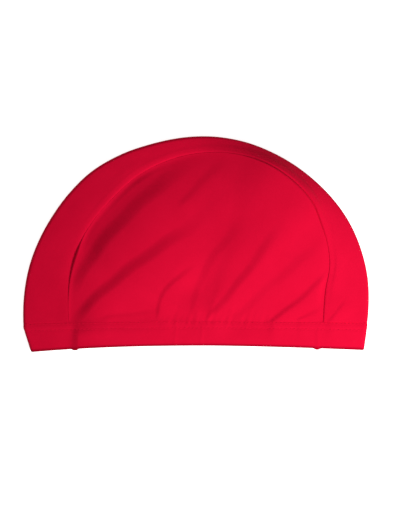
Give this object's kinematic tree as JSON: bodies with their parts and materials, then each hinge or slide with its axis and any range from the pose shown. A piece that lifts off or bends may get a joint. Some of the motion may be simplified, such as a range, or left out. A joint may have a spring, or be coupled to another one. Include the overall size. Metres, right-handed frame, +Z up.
{
  "type": "swim cap",
  "caption": "Soft fabric swim cap of two D-shaped side panels, a crown strip and a turned-up hem, lying on its side.",
  "frame": {"origin": "on the surface that the cap lies on, under the middle of its box", "axes": "+X along the rim, +Y from the rim to the top of the crown, +Z up off the surface"},
  "size_m": [0.2492, 0.1554, 0.0213],
  "materials": {
    "strip_cloth": "matte red polyester and elastane swim knit",
    "panel_cloth": "matte red polyester and elastane swim knit",
    "hem_cloth": "the same knit, double, with two rows of red cover stitches"
  },
  "bodies": {
    "root": {"crown_strip": "strip_cloth", "side_panel_upper": "panel_cloth", "side_panel_lower": "panel_cloth", "hem_band": "hem_cloth"}
  },
  "joints": []
}
